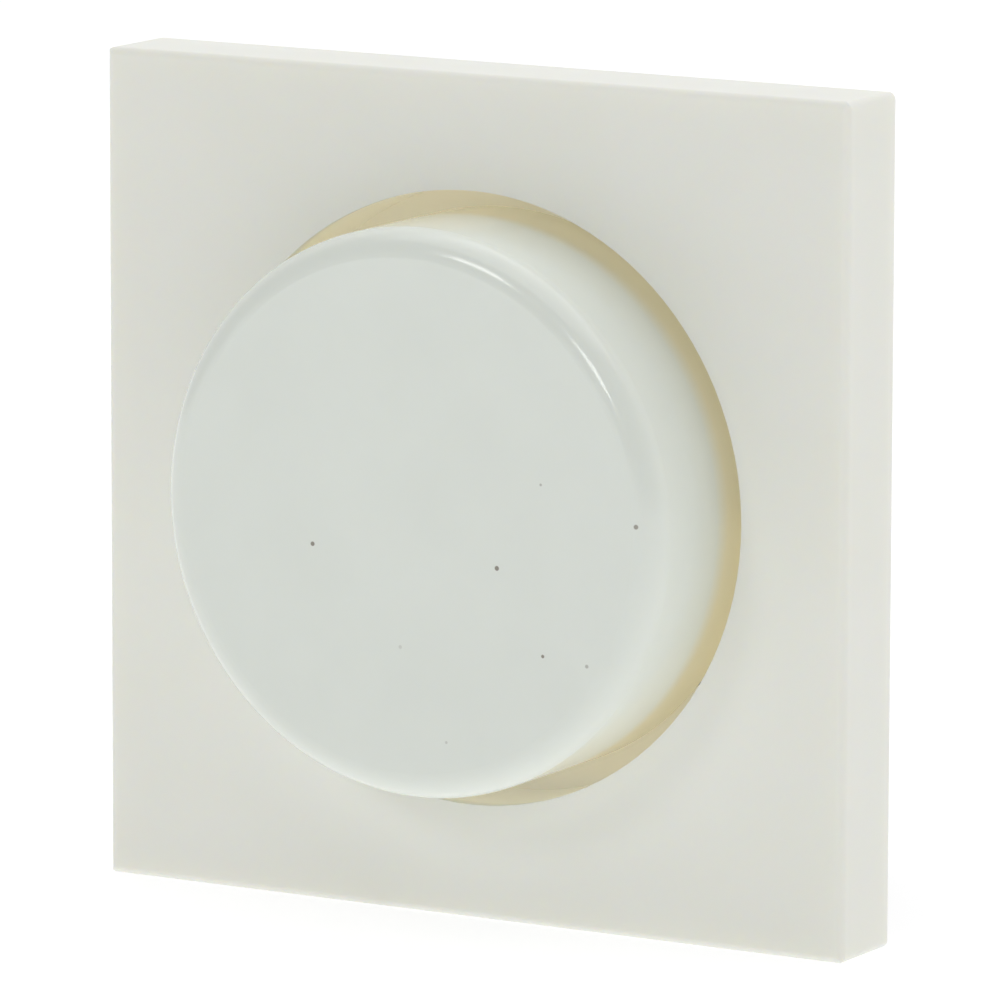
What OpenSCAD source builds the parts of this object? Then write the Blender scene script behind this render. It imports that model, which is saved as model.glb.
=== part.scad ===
// Flush-mounted rotary dimmer: a square cover plate with a push-and-turn knob, and the insert behind it.
// The origin is the centre of the cover plate's rear rim, on the knob's axis. +Y runs into the wall,
// +Z is up and +X is to the right as seen from the room. All sizes are in millimetres.

/* [Cover plate] */
// Side of the square cover plate
plate_w = 55; // [54:0.5:58]
// Depth of the cover plate, from the wall to its front face
plate_t = 6.1; // [6:0.1:8]
// Radius of the plate's front edges
plate_edge_r = 0.5; // [0.3:0.1:0.9]
// Thickness of the plate's outer rim
rim_t = 1.7; // [1.4:0.1:1.8]
// Thickness of the plate's front wall
front_t = 2; // [1.6:0.1:2.4]
// Diameter of the round recess that the knob sits in
recess_d = 40; // [39.5:0.5:40]

/* [Knob] */
// Outer diameter of the knob
knob_d = 36.8; // [36:0.2:37.6]
// How far the knob stands out of the plate's front face
knob_proud = 8; // [7.5:0.1:9.5]
// Radius of the knob's front edge
knob_edge_r = 1.8; // [1:0.1:2]
// How far the knob is pushed in to switch the light on or off
push_travel = 1; // [0.6:0.1:1]

/* [Mounting] */
// Side of the steel support frame
frame_w = 50; // [49:0.5:50.5]
// Distance between neighbouring mounting holes
mount_spacing = 44; // [43.5:0.5:44.5]
// Diameter of the mounting holes
mount_hole_d = 3.4; // [3:0.1:3.6]

/* [Terminals] */
// Diameter of the hole that a wire goes into
wire_hole_d = 2.6; // [2:0.1:2.8]
// Number of wire terminals
terminal_count = 3; // [2:1:3]

/* [Hidden] */
$fn = 96;

white_plastic = "#f3f3ee";
grey_plastic = "#4a4d50";
black_plastic = "#26282a";
zinc = "#c3c7ca";
brass = "#c9a24b";
copper = "#b8703a";

// Clearances: between fixed pieces, round a turning shaft, and round a sliding piece
gap = 0.05;
shaft_gap = 0.03;
slide_gap = 0.1;
// Overshoot that lets a cutter pass cleanly through a face
past = 1;

// Depths (Y) of the cover plate
plate_front = -plate_t;
floor_front = 0;
floor_back = 1.5;
recess_r = recess_d / 2;
collar_r = recess_r + 1.2;
relief_r = recess_r + 0.5;
relief_front = plate_front + 1.5;
peg_r = 1;
peg_x = 12;
peg_back = floor_back + 1.2;
trimmer_hole_r = 2;

// Depths and sizes of the knob and the shaft
knob_r = knob_d / 2;
knob_wall = 1.8;
knob_front = plate_front - knob_proud;
knob_back = floor_front - push_travel - 0.4;
knob_ceiling = knob_front + 2;
hub_r = 5.2;
hub_back = -5.6;
rib_t = 1.2;
rib_count = 3;
rib_back = knob_ceiling + 4;
clip_half_w = 0.9;
clip_t = 0.55;
clip_end_gap = 0.3;
shaft_r = 3;
shaft_flat = 2.25;
shaft_front = knob_ceiling + 0.6;
shaft_back = 9.5;
front_flat_back = -5;
circlip_front = 4.55;
circlip_t = 0.6;
circlip_r = shaft_r + 1.2;
circlip_mouth = 1.2;
groove_r = shaft_r - 0.5;
wiper_front = circlip_front + circlip_t + push_travel + 0.35;
rear_flat_front = wiper_front - push_travel - 0.15;

// The clamped stack of neck, washer and nut
neck_r = 5;
neck_front = -4.2;
neck_back = 4.5;
neck_flange_r = 8.5;
nut_flats = 14;
nut_t = 2.5;
washer_t = 0.6;
washer_r = 8.6;
nut_front = floor_front - washer_t - nut_t;

// The support frame and its screws
frame_t = 1;
frame_opening_r = collar_r + 0.4;
frame_screw_at = 17.5;
frame_screw_r = 1.2;
frame_screw_head_r = 2.2;
frame_screw_head_t = 1.3;
frame_corner_r = 2;
frame_screw_end = 10.5;

// The insert's housing
housing_w = 40;
housing_wall = 1.5;
housing_corner_r = 2;
housing_mid = 12;
housing_back = 23;
housing_back_w = 27;
lid_front = floor_back;
lid_back = 3.5;
boss_r = 2.4;
post_back = 9.5;
ledge_at = [18, 9];
ledge_half = [1.2, 1];
ledge_l = 3.4;
window_w = 19.4;
window_z = [-18.5, -11.2];
vent_w = 1.2;
vent_pitch = 3;
vent_pairs = 3;
vent_y = [6, 14];
panel_w = 17;
panel_z = 3;
panel_depth = 0.4;
panel_corner_r = 1;

// The circuit board, which carries every electrical piece
board_front = 9.6;
board_back = 10.6;
board_w = 35.6;
board_hole_r = shaft_r + 0.4;

// The potentiometer round the shaft
pot_r = 8.5;
pot_wall = 0.8;
track_front = 8.3;
track_back = 8.9;
pot_back = 9.5;
pot_bore_r = shaft_r + 0.6;
pot_foot_w = 8.4;
pot_foot_z = [-pot_r - 1.8, -pot_r + 1.5];
wiper_back = 7.7;
wiper_r = 6.5;
wiper_strip_t = 0.2;

// The push switch behind the shaft
switch_w = 10;
switch_wall = 0.8;
switch_back = 17.6;
plunger_front = shaft_back + gap;
stem_r = 2.5;
rod_r = 1.9;
stop_front = board_back + switch_wall + gap;
stop_t = 0.8;
stop_r = 3.5;
bridge_front = 14.2;
bridge_t = 0.4;
bridge_size = [7.6, 2];
contact_front = bridge_front + bridge_t + push_travel + gap;
contact_t = 0.5;
contact_r = 0.8;
contact_x = 3;
spring_r = 1.2;
spring_wire_r = 0.135;
spring_turns = 2.5;
wire_sides = 6;

// The trimmer that sets the least brightness
trimmer_at = [12.2, -10.4];
trimmer_w = 6.4;
trimmer_front = 5;
rotor_front = 4;
rotor_back = 6.9;
rotor_r = 2;

// The power semiconductor and its heat sink
triac_y = [11.3, 21.3];
triac_body_x = [-7, 2.2];
triac_tab_end = 8.2;
triac_z = [12.9, 17.2];
tab_front_z = 15.9;
tab_screw_at = [5.2, 16.3];
tab_hole_r = 1.55;
leg_half = 0.35;
sink_x = [-12, 12];
sink_y = [11.2, 21.2];
sink_t = 1.2;
sink_groove_w = 0.8;
sink_groove_depth = 0.4;
sink_groove_pitch = 2.5;
sink_hole_r = 1.5;
sink_screw_head = [2.6, 1.8];
sink_screw_shank = [1.45, 2.4];

// The interference choke: a ring with a winding
choke_at = [-10.9, 14.2, 3];
choke_r = 3.3;
choke_core_r = 1.6;
choke_wire_r = 0.25;

// The two capacitors
film_capacitor_x = [6, 12.4];
film_capacitor_back = 18.8;
film_capacitor_z = [-4.4, 8];
trigger_capacitor_x = [2.6, 9.8];
trigger_capacitor_front = 4.2;
trigger_capacitor_z = [11.9, 14.4];

// The fuse and its clips
fuse_at = [0, 13.9, -7.6];
fuse_l = 18;
fuse_r = 2.3;
fuse_cap_l = 4;
fuse_cap_t = 0.25;
fuse_cap_end_t = 0.4;
fuse_glass_r = fuse_r - fuse_cap_t - gap;
fuse_glass_t = 0.5;
fuse_wire_r = 0.1;
fuse_clip_x = fuse_l / 2 - 2.2;
fuse_clip_w = 2.4;
fuse_clip_t = 0.35;

// The diac and the resistors
diac_at = [-3.5, 8.4, 13];
diac_body = [3.6, 0.9];
diac_leg_r = 0.25;
resistor_at = [-10.6, 8.2, 2];
resistor_pitch = 2.6;
resistor_body = [6.2, 1.1];
resistor_leg_r = 0.3;
leg_reach = 1.2;

// The terminals at the bottom edge
terminal_pitch = 6;
terminal_z = -15;
block_h = 7.2;
block_w = 19;
block_back = housing_back - housing_wall - gap;
clamp_w = 4.6;
clamp_front = 13.2;
clamp_back = 19.8;
wire_hole_depth = 5.6;
wire_r = wire_hole_d / 2;
wire_funnel = 0.3;
terminal_screw_y = 16.5;
terminal_screw_r = 1.2;
terminal_head_r = 1.9;
terminal_head_z = [-19.4, -17.7];
terminal_slot = [0.6, 0.8];
driver_hole_r = 2.1;

// ---------- Shared shapes ----------

// Raises an outline, drawn as seen from the room, between two depths
module slab(front, back) {
    translate([0, back, 0])
        rotate([90, 0, 0])
            linear_extrude(back - front)
                children();
}

// Turns a half outline about the knob's axis: its x is the radius and its y the height towards the room
module turned() {
    rotate([90, 0, 0])
        rotate_extrude()
            children();
}

// A rectangle between two pairs of limits
module box2(left, right, bottom, top) {
    translate([left, bottom])
        square([right - left, top - bottom]);
}

// A block between three pairs of limits
module box3(x, y, z) {
    translate([x[0], y[0], z[0]])
        cube([x[1] - x[0], y[1] - y[0], z[1] - z[0]]);
}

// A square with round corners, centred on the axis
module round_square(w, r) {
    square([w - 2 * r, w], center = true);
    square([w, w - 2 * r], center = true);
    for (sx = [-1, 1], sy = [-1, 1])
        translate([sx * (w / 2 - r), sy * (w / 2 - r)])
            circle(r);
}

// The four corners of a square pattern
module at_corners(offset) {
    for (sx = [-1, 1], sy = [-1, 1])
        translate([sx * offset, 0, sy * offset])
            children();
}

// A shaft's outline with one flat, facing up
module d_outline(r, flat) {
    intersection() {
        circle(r);
        box2(-r - past, r + past, -r - past, flat);
    }
}

// A round-wire tube along a path, with rings that face along the path
module wire_tube(path, outward, r, sides) {
    count = len(path);
    ring = [for (k = [0 : sides - 1]) 360 * k / sides];
    points = [
        for (i = [0 : count - 1])
            let (
                ahead = path[min(i + 1, count - 1)] - path[max(i - 1, 0)],
                along = ahead / norm(ahead),
                side = cross(along, outward[i]),
                side_n = side / norm(side),
                out_n = cross(side_n, along)
            )
            for (a = ring) path[i] + r * (cos(a) * out_n + sin(a) * side_n)
    ];
    walls = [
        for (i = [0 : count - 2], k = [0 : sides - 1], half = [0, 1])
            let (near = i * sides, far = near + sides, next = (k + 1) % sides)
            half == 0 ? [near + k, far + k, far + next] : [near + k, far + next, near + next]
    ];
    first_cap = [for (k = [0 : sides - 1]) k];
    last_cap = [for (k = [sides - 1 : -1 : 0]) (count - 1) * sides + k];
    polyhedron(points, concat([first_cap], walls, [last_cap]));
}

// ---------- Cover and knob ----------

// The plate's outer block: a square with small corners, whose front edges are rounded as well
module plate_block() {
    side_half = plate_w / 2;
    front_center = plate_front + plate_edge_r;
    intersection() {
        slab(plate_front, 0)
            round_square(plate_w, plate_edge_r);
        linear_extrude(plate_w, center = true)
            edge_outline(side_half, front_center);
        rotate([0, 90, 0])
            linear_extrude(plate_w, center = true)
                edge_outline(side_half, front_center);
    }
}

// A section through the plate block, with its two front corners rounded
module edge_outline(side_half, front_center) {
    box2(-side_half, side_half, front_center, 0);
    box2(-side_half + plate_edge_r, side_half - plate_edge_r, plate_front, 0);
    for (s = [-1, 1])
        translate([s * (side_half - plate_edge_r), front_center])
            circle(plate_edge_r);
}

// Moulded cover plate with its round recess, whose floor the nut clamps to the insert
module cover_plate() {
    color(white_plastic)
        difference() {
            union() {
                difference() {
                    plate_block();
                    slab(plate_front + front_t, past)
                        square(plate_w - 2 * rim_t, center = true);
                }
                slab(plate_front + front_t - gap, floor_back)
                    circle(collar_r);
                for (s = [-1, 1])
                    translate([s * peg_x, 0, 0])
                        slab(floor_back - gap, peg_back)
                            circle(peg_r);
            }
            slab(plate_front - past, floor_front)
                circle(recess_r);
            slab(relief_front, floor_front)
                intersection() {
                    circle(relief_r);
                    square(plate_w);
                }
            slab(floor_front - past, floor_back + past)
                circle(neck_r + gap);
            translate([trimmer_at[0], 0, trimmer_at[1]])
                slab(floor_front - past, floor_back + past)
                    circle(trimmer_hole_r);
        }
}

// The knob's outer or inner half outline, with a rounded outer edge at the front
module cup_outline(r, low, high, edge_r) {
    box2(0, r, low, high - edge_r);
    box2(0, r - edge_r, low, high);
    translate([r - edge_r, high - edge_r])
        circle(edge_r);
}

// Moulded knob: a deep cup with a hub for the shaft and ribs between the hub and the wall
module knob() {
    cavity_r = knob_r - knob_wall;
    color(white_plastic)
        difference() {
            union() {
                difference() {
                    turned()
                        cup_outline(knob_r, -knob_back, -knob_front, knob_edge_r);
                    turned()
                        cup_outline(cavity_r, -knob_back - past, -knob_ceiling, knob_edge_r / 2);
                }
                slab(knob_ceiling - gap, hub_back)
                    circle(hub_r);
                for (i = [0 : rib_count - 1])
                    rotate([0, 180 * i / rib_count, 0])
                        box3(
                            [-cavity_r - gap, cavity_r + gap],
                            [knob_ceiling - gap, rib_back],
                            [-rib_t / 2, rib_t / 2]
                        );
            }
            slab(shaft_front - gap, hub_back + past)
                d_outline(shaft_r + shaft_gap, shaft_flat + clip_t + gap);
        }
}

// Spring-steel clip between the shaft's flat and the hub
module knob_clip() {
    color(zinc)
        box3(
            [-clip_half_w, clip_half_w],
            [shaft_front + clip_end_gap, hub_back - clip_end_gap],
            [shaft_flat, shaft_flat + clip_t]
        );
}

// ---------- Support frame, neck and housing ----------

// Zinc-plated steel frame that is screwed to the wall
module support_frame() {
    color(zinc)
        slab(-frame_t, 0)
            difference() {
                round_square(frame_w, frame_corner_r);
                circle(frame_opening_r);
                for (sx = [-1, 1], sz = [-1, 1]) {
                    translate([sx * mount_spacing / 2, sz * mount_spacing / 2])
                        circle(mount_hole_d / 2);
                    translate([sx * frame_screw_at, sz * frame_screw_at])
                        circle(frame_screw_r + slide_gap);
                }
            }
}

// A pan-head screw that points into the wall, with a cross slot
module pan_screw(head_front, head_back, head_r, shank_r, end) {
    slot_w = head_r * 0.35;
    slot_l = head_r * 1.2;
    difference() {
        slab(head_front, head_back)
            circle(head_r);
        slab(head_front - past, (head_front + head_back) / 2) {
            square([slot_l, slot_w], center = true);
            square([slot_w, slot_l], center = true);
        }
    }
    slab(head_back - gap, end)
        circle(shank_r);
}

// The four screws that hold the frame, the front housing and the rear housing together
module frame_screws() {
    color(zinc)
        at_corners(frame_screw_at)
            pan_screw(
                -frame_t - frame_screw_head_t,
                -frame_t,
                frame_screw_head_r,
                frame_screw_r,
                frame_screw_end
            );
}

// Front half of the insert: a flat lid with four posts that meet the frame
module housing_front() {
    color(grey_plastic)
        difference() {
            union() {
                slab(lid_front, lid_back)
                    round_square(housing_w, housing_corner_r);
                at_corners(frame_screw_at)
                    slab(0, lid_front + gap)
                        circle(boss_r);
            }
            at_corners(frame_screw_at)
                slab(-past, lid_back + past)
                    circle(frame_screw_r + gap);
            slab(lid_front - past, lid_back + past)
                circle(neck_r + gap);
            for (s = [-1, 1])
                translate([s * peg_x, 0, 0])
                    slab(lid_front - past, lid_back + past)
                        circle(peg_r + gap);
            translate([trimmer_at[0], 0, trimmer_at[1]])
                slab(lid_front - past, lid_back + past)
                    circle(trimmer_hole_r + 3 * slide_gap);
        }
}

// The housing's plan view: straight sides that taper towards the rear, drawn inset by a wall
module housing_outline(inset, front) {
    half = housing_w / 2 - inset;
    back_half = housing_back_w / 2 - inset;
    polygon([
        [-half, front],
        [half, front],
        [half, housing_mid],
        [back_half, housing_back - inset],
        [-back_half, housing_back - inset],
        [-half, housing_mid]
    ]);
}

// Rear half of the insert: a tapered box with screw posts, board ledges and terminal holes
module housing_rear() {
    inner_h = housing_w - 2 * housing_wall;
    color(grey_plastic)
        difference() {
            union() {
                difference() {
                    linear_extrude(housing_w, center = true)
                        housing_outline(0, lid_back);
                    linear_extrude(inner_h, center = true)
                        housing_outline(housing_wall, lid_back - past);
                }
                intersection() {
                    linear_extrude(housing_w, center = true)
                        housing_outline(0, lid_back);
                    union() {
                        at_corners(frame_screw_at)
                            slab(lid_back, post_back)
                                circle(boss_r);
                        for (sx = [-1, 1], sz = [-1, 1])
                            translate([sx * ledge_at[0], 0, sz * ledge_at[1]])
                                box3(
                                    [-ledge_half[0], ledge_half[0]],
                                    [board_back, board_back + ledge_l],
                                    [-ledge_half[1], ledge_half[1]]
                                );
                    }
                }
            }
            at_corners(frame_screw_at)
                slab(lid_back - past, frame_screw_end + past)
                    circle(frame_screw_r + gap);
            slab(block_back, housing_back + past)
                box2(-window_w / 2, window_w / 2, window_z[0], window_z[1]);
            for_each_terminal()
                translate([0, terminal_screw_y, -housing_w / 2 - past])
                    cylinder(h = housing_wall + 2 * past, r = driver_hole_r + slide_gap);
            for (i = [-vent_pairs : vent_pairs])
                translate([i * vent_pitch, 0, 0])
                    box3(
                        [-vent_w / 2, vent_w / 2],
                        vent_y,
                        [housing_w / 2 - housing_wall - past, housing_w / 2 + past]
                    );
            translate([0, 0, panel_z])
                slab(housing_back - panel_depth, housing_back + past)
                    round_square(panel_w, panel_corner_r);
        }
}

// Repeats a piece at every terminal
module for_each_terminal() {
    for (i = [0 : terminal_count - 1])
        translate([(i - (terminal_count - 1) / 2) * terminal_pitch, 0, 0])
            children();
}

// Brass bush that carries the shaft and clamps the cover's floor
module threaded_neck() {
    groove_pitch = 1;
    groove_w = 0.4;
    groove_depth = 0.3;
    color(brass)
        difference() {
            union() {
                slab(neck_front, neck_back)
                    circle(neck_r);
                slab(lid_back, neck_back)
                    circle(neck_flange_r);
            }
            slab(neck_front - past, neck_back + past)
                circle(shaft_r + shaft_gap);
            for (y = [neck_front + groove_w : groove_pitch : nut_front - groove_w / 2])
                slab(y, y + groove_w)
                    difference() {
                        circle(neck_r + past);
                        circle(neck_r - groove_depth);
                    }
        }
}

// Washer under the nut
module lock_washer() {
    color(zinc)
        slab(floor_front - washer_t, floor_front)
            difference() {
                circle(washer_r);
                circle(neck_r + gap);
            }
}

// Hexagon nut on the neck
module retaining_nut() {
    color(brass)
        slab(nut_front, nut_front + nut_t)
            difference() {
                circle(r = nut_flats / 2 / cos(30), $fn = 6);
                circle(neck_r + gap);
            }
}

// ---------- Shaft and potentiometer ----------

// Metal shaft with a flat at the knob, a groove for the circlip and a flat at the wiper
module shaft() {
    color(brass)
        difference() {
            slab(shaft_front, shaft_back)
                circle(shaft_r);
            box3([-shaft_r, shaft_r], [shaft_front - past, front_flat_back], [shaft_flat, shaft_r + past]);
            box3([-shaft_r, shaft_r], [rear_flat_front, shaft_back + past], [shaft_flat, shaft_r + past]);
            slab(circlip_front - gap, circlip_front + circlip_t + gap)
                difference() {
                    circle(shaft_r + past);
                    circle(groove_r);
                }
        }
}

// Circlip that stops the shaft from coming out of the neck
module shaft_circlip() {
    color(zinc)
        slab(circlip_front, circlip_front + circlip_t)
            difference() {
                circle(circlip_r);
                circle(groove_r + gap);
                box2(-circlip_mouth, circlip_mouth, 0, circlip_r + past);
            }
}

// Round case of the potentiometer, with a foot for its pins
module pot_case() {
    color(black_plastic)
        difference() {
            union() {
                slab(neck_back, pot_back)
                    circle(pot_r);
                slab(neck_back + 1, pot_back)
                    box2(-pot_foot_w / 2, pot_foot_w / 2, pot_foot_z[0], pot_foot_z[1]);
            }
            slab(neck_back - past, track_back)
                circle(pot_r - pot_wall);
            slab(track_back - past, pot_back + past)
                circle(pot_bore_r);
        }
}

// Carbon track on its phenolic ring
module resistive_track() {
    color("#5b3a22")
        slab(track_front, track_back)
            difference() {
                circle(pot_r - pot_wall - gap);
                circle(pot_bore_r);
            }
}

// Disc that the shaft turns; it lets the shaft slide through
module wiper_disc() {
    color("#e9e4d4")
        slab(wiper_front, wiper_back)
            difference() {
                circle(wiper_r);
                d_outline(shaft_r + 2 * shaft_gap, shaft_flat + 2 * shaft_gap);
            }
}

// Bronze strip with two dimples that ride on the track
module wiper_contact() {
    strip_half_w = 2.4;
    dimple_at = [1.2, 5.3];
    dimple_r = 0.4;
    color(copper) {
        slab(wiper_back, wiper_back + wiper_strip_t)
            intersection() {
                difference() {
                    circle(wiper_r - 0.3);
                    circle(shaft_r + 1);
                }
                box2(-strip_half_w, strip_half_w, 0, wiper_r);
            }
        for (s = [-1, 1])
            translate([s * dimple_at[0], 0, dimple_at[1]])
                slab(wiper_back + wiper_strip_t - gap, track_front - gap)
                    circle(dimple_r);
    }
}

// The three pins that solder the potentiometer to the board
module pot_pins() {
    pin_pitch = 2.5;
    pin_half = [0.4, 0.25];
    pin_z = pot_foot_z[0] - 0.3;
    color(zinc)
        for (i = [-1 : 1])
            translate([i * pin_pitch, 0, pin_z])
                box3(
                    [-pin_half[0], pin_half[0]],
                    [neck_back + 2, board_front],
                    [-pin_half[1], pin_half[1]]
                );
}

// ---------- Push switch ----------

// Square case of the push switch
module switch_case() {
    color(black_plastic)
        difference() {
            slab(board_back, switch_back)
                square(switch_w, center = true);
            slab(board_back + switch_wall, switch_back - switch_wall)
                square(switch_w - 2 * switch_wall, center = true);
            slab(board_back - past, board_back + switch_wall + past)
                circle(stem_r + slide_gap);
        }
}

// Plunger that the shaft pushes: a stem, a stop that rests inside the case, and a rod
module plunger() {
    color("#b5372f") {
        slab(plunger_front, stop_front + stop_t / 2)
            circle(stem_r);
        slab(stop_front, stop_front + stop_t)
            circle(stop_r);
        slab(stop_front + stop_t / 2, bridge_front)
            circle(rod_r);
    }
}

// Return spring of the plunger
module plunger_spring() {
    steps = 20;
    coil_front = bridge_front + bridge_t + spring_wire_r + gap;
    coil_back = switch_back - switch_wall - spring_wire_r - gap;
    last = spring_turns * steps;
    outward = [for (i = [0 : last]) [cos(360 * i / steps), 0, sin(360 * i / steps)]];
    path = [
        for (i = [0 : last])
            spring_r * outward[i] + [0, coil_front + (coil_back - coil_front) * i / last, 0]
    ];
    color(zinc)
        wire_tube(path, outward, spring_wire_r, wire_sides);
}

// Copper bridge that closes the two fixed contacts
module contact_bridge() {
    color(copper)
        slab(bridge_front, bridge_front + bridge_t)
            square(bridge_size, center = true);
}

// The two fixed contacts on the rear wall of the switch
module fixed_contacts() {
    post_size = [1.8, 2.4];
    color(brass)
        for (s = [-1, 1])
            translate([s * contact_x, 0, 0]) {
                slab(contact_front, contact_front + contact_t)
                    circle(contact_r);
                slab(contact_front + contact_t - gap, switch_back - switch_wall)
                    square(post_size, center = true);
            }
}

// ---------- Board and electrical pieces ----------

// Glass-fibre board with clearance for the shaft and a notch for each corner post
module circuit_board() {
    notch_from = board_w / 2 - boss_r - 1;
    notch = 10;
    color("#2f6b3f")
        slab(board_front, board_back)
            difference() {
                square(board_w, center = true);
                circle(board_hole_r);
                for (sx = [-1, 1], sz = [-1, 1])
                    translate([sx * (notch_from + notch / 2), sz * (notch_from + notch / 2)])
                        square(notch, center = true);
            }
}

// Power semiconductor: a moulded body, a metal tab and three bent legs
module triac() {
    leg_x = triac_body_x[0] - 1;
    leg_step = [1.3, 2.5];
    leg_y = triac_y[0] + 2.5;
    color(black_plastic)
        box3(triac_body_x, triac_y, triac_z);
    color(zinc) {
        difference() {
            box3([triac_body_x[1] - gap, triac_tab_end], triac_y, [tab_front_z, triac_z[1]]);
            translate([tab_screw_at[0], tab_screw_at[1], tab_front_z - past])
                cylinder(h = triac_z[1] - tab_front_z + 2 * past, r = tab_hole_r);
        }
        for (i = [0 : 2])
            triac_leg(leg_x - leg_step[0] * i, leg_y + leg_step[1] * i);
    }
}

// One leg of the triac: out of the body, then down to the board
module triac_leg(x, y) {
    z = triac_z[0] + 1.7;
    box3(
        [x - leg_half, triac_body_x[0] + gap],
        [y - leg_half, y + leg_half],
        [z - leg_half, z + leg_half]
    );
    box3([x - leg_half, x + leg_half], [board_back, y + leg_half], [z - leg_half, z + leg_half]);
}

// Aluminium plate that spreads the triac's heat, with fine grooves on its outer face
module heat_sink() {
    sink_top = triac_z[1] + sink_t;
    grooves = floor((sink_x[1] - sink_x[0]) / 2 / sink_groove_pitch - 0.5);
    color("#b9bcc0")
        difference() {
            box3(sink_x, sink_y, [triac_z[1], sink_top]);
            for (i = [-grooves : grooves])
                translate([i * sink_groove_pitch, 0, 0])
                    box3(
                        [-sink_groove_w / 2, sink_groove_w / 2],
                        [sink_y[0] - past, sink_y[1] + past],
                        [sink_top - sink_groove_depth, sink_top + past]
                    );
            translate([tab_screw_at[0], tab_screw_at[1], triac_z[1] - past])
                cylinder(h = sink_t + 2 * past, r = sink_hole_r);
        }
}

// Screw that clamps the triac to the heat sink
module heat_sink_screw() {
    head_r = sink_screw_head[0];
    head_low = tab_front_z - sink_screw_head[1];
    slot_half_w = 0.4;
    slot_depth = 0.8;
    color(zinc)
        translate([tab_screw_at[0], tab_screw_at[1], 0]) {
            difference() {
                translate([0, 0, head_low])
                    cylinder(h = sink_screw_head[1], r = head_r);
                box3(
                    [-head_r, head_r],
                    [-slot_half_w, slot_half_w],
                    [head_low - past, head_low + slot_depth]
                );
            }
            translate([0, 0, tab_front_z - gap])
                cylinder(h = sink_screw_shank[1], r = sink_screw_shank[0]);
        }
}

// Ferrite ring of the interference choke
module choke_core() {
    color("#3c3f42")
        translate(choke_at)
            turned()
                translate([choke_r, 0])
                    circle(choke_core_r);
}

// Enamelled copper wound round the ring, with a gap between its two ends
module choke_winding() {
    turns = 12;
    steps = 14;
    sweep = 320;
    loop_r = choke_core_r + choke_wire_r + gap;
    last = turns * steps;
    round_ring = [for (i = [0 : last]) 90 - sweep / 2 + sweep * i / last];
    outward = [
        for (i = [0 : last])
            let (a = round_ring[i], loop = 360 * i / steps)
            [cos(loop) * cos(a), sin(loop), cos(loop) * sin(a)]
    ];
    path = [
        for (i = [0 : last])
            choke_r * [cos(round_ring[i]), 0, sin(round_ring[i])] + loop_r * outward[i]
    ];
    color(copper)
        translate(choke_at)
            wire_tube(path, outward, choke_wire_r, wire_sides);
}

// Suppression capacitor: a boxed film capacitor
module film_capacitor() {
    color("#d8c23a")
        box3(film_capacitor_x, [board_back, film_capacitor_back], film_capacitor_z);
}

// Small film capacitor of the trigger circuit
module trigger_capacitor() {
    color("#b04a2e")
        box3(trigger_capacitor_x, [trigger_capacitor_front, board_front], trigger_capacitor_z);
}

// Glass tube of the fuse
module fuse_tube() {
    glass_l = fuse_l - 2 * fuse_cap_end_t - 2 * gap;
    color("#dfe8ea", 0.6)
        translate(fuse_at)
            rotate([0, 90, 0])
                difference() {
                    cylinder(h = glass_l, r = fuse_glass_r, center = true);
                    cylinder(h = glass_l + past, r = fuse_glass_r - fuse_glass_t, center = true);
                }
}

// Metal caps on both ends of the fuse
module fuse_caps() {
    color(zinc)
        translate(fuse_at)
            for (s = [-1, 1])
                rotate([0, s * 90, 0])
                    translate([0, 0, fuse_l / 2 - fuse_cap_l])
                        difference() {
                            cylinder(h = fuse_cap_l, r = fuse_r);
                            translate([0, 0, -past])
                                cylinder(h = fuse_cap_l - fuse_cap_end_t + past, r = fuse_r - fuse_cap_t);
                        }
}

// Fusible wire in the tube
module fuse_wire() {
    color(zinc)
        translate(fuse_at)
            rotate([0, 90, 0])
                cylinder(h = fuse_l - 2 * fuse_cap_end_t - 2 * gap, r = fuse_wire_r, center = true);
}

// Sprung clips that hold the fuse on the board
module fuse_clips() {
    clip_r = fuse_r + gap + fuse_clip_t;
    foot_half_w = 0.6;
    jaw_top = 1;
    color(zinc)
        for (s = [-1, 1])
            translate([fuse_at[0] + s * fuse_clip_x, 0, fuse_at[2]]) {
                rotate([0, 90, 0])
                    linear_extrude(fuse_clip_w, center = true)
                        translate([0, fuse_at[1]])
                            intersection() {
                                difference() {
                                    circle(clip_r);
                                    circle(fuse_r + gap);
                                }
                                box2(-clip_r, clip_r, -clip_r, jaw_top);
                            }
                box3(
                    [-fuse_clip_w / 2, fuse_clip_w / 2],
                    [board_back, fuse_at[1] - clip_r + fuse_clip_t / 2],
                    [-foot_half_w, foot_half_w]
                );
            }
}

// A small part along Z: body is its length and radius, and a leg at each end reaches the board's front
module axial_part(body, leg_r, y) {
    leg_z = body[0] / 2 + leg_reach;
    translate([0, y, -body[0] / 2])
        cylinder(h = body[0], r = body[1]);
    translate([0, y, -leg_z])
        cylinder(h = 2 * leg_z, r = leg_r);
    for (s = [-1, 1])
        translate([0, 0, s * (leg_z - leg_r)])
            slab(y - leg_r, board_front)
                circle(leg_r);
}

// Trigger diode in its glass body
module diac() {
    color("#7a8fa6")
        translate([diac_at[0], 0, diac_at[2]])
            rotate([0, 90, 0])
                axial_part(diac_body, diac_leg_r, diac_at[1]);
}

// Three resistors beside the potentiometer
module resistors() {
    color("#c7b08a")
        for (i = [0 : 2])
            translate([resistor_at[0] - resistor_pitch * i, 0, resistor_at[2]])
                axial_part(resistor_body, resistor_leg_r, resistor_at[1]);
}

// Body of the trimmer
module trimmer_body() {
    color("#2b5fa8")
        translate([trimmer_at[0], 0, trimmer_at[1]])
            difference() {
                slab(trimmer_front, board_front)
                    square(trimmer_w, center = true);
                slab(trimmer_front - past, rotor_back + slide_gap)
                    circle(rotor_r + slide_gap);
            }
}

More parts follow.
